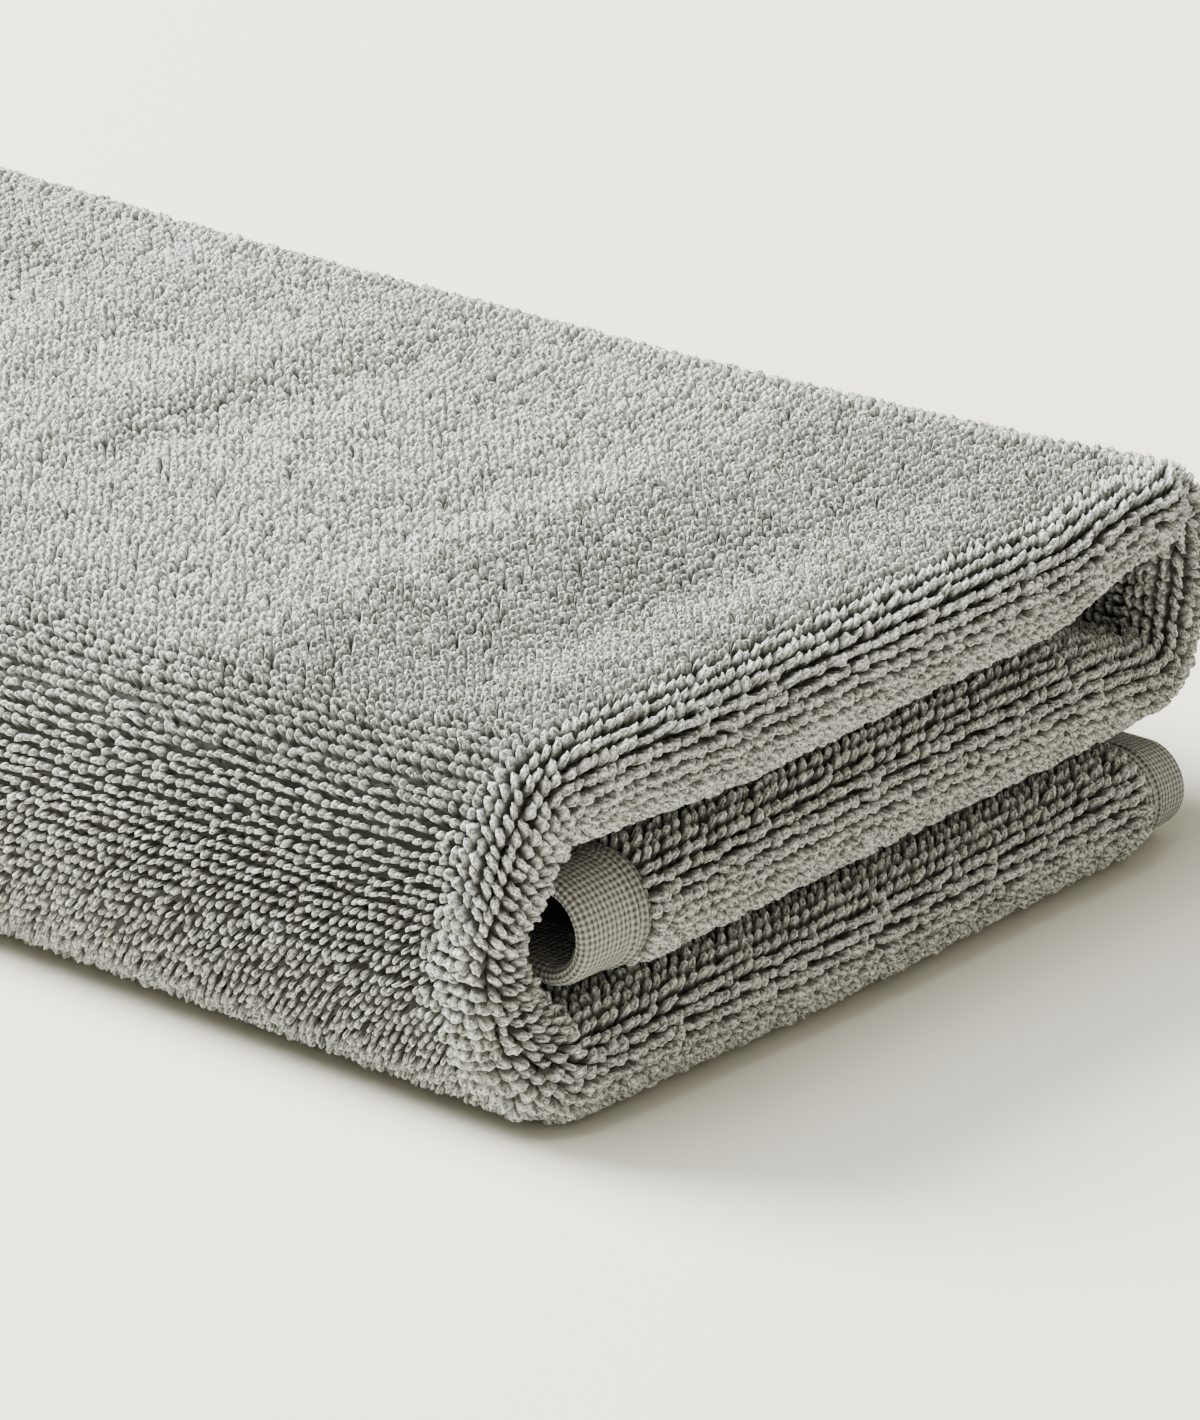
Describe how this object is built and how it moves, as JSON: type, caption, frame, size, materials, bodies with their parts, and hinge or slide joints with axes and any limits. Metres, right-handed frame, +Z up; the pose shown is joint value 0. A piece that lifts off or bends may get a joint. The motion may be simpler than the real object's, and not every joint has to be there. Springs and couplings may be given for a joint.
{
  "type": "folded sports towel",
  "caption": "Looped terry sports towel folded in half and then in three, with flat woven hems showing at the near and the far end of its rolls.",
  "frame": {"origin": "middle of the underside, on the surface that the towel lies on", "axes": "+Y along the folded length, away from the rounded fold; +X across the three layers; +Z up through the stack"},
  "size_m": [0.1328, 0.4, 0.0475],
  "materials": {
    "terry": "matt two-ply cotton loops in warm light grey",
    "hem": "flat plain weave in the same grey, turned once and stitched"
  },
  "bodies": {
    "root": {"towel": "terry"}
  },
  "joints": []
}
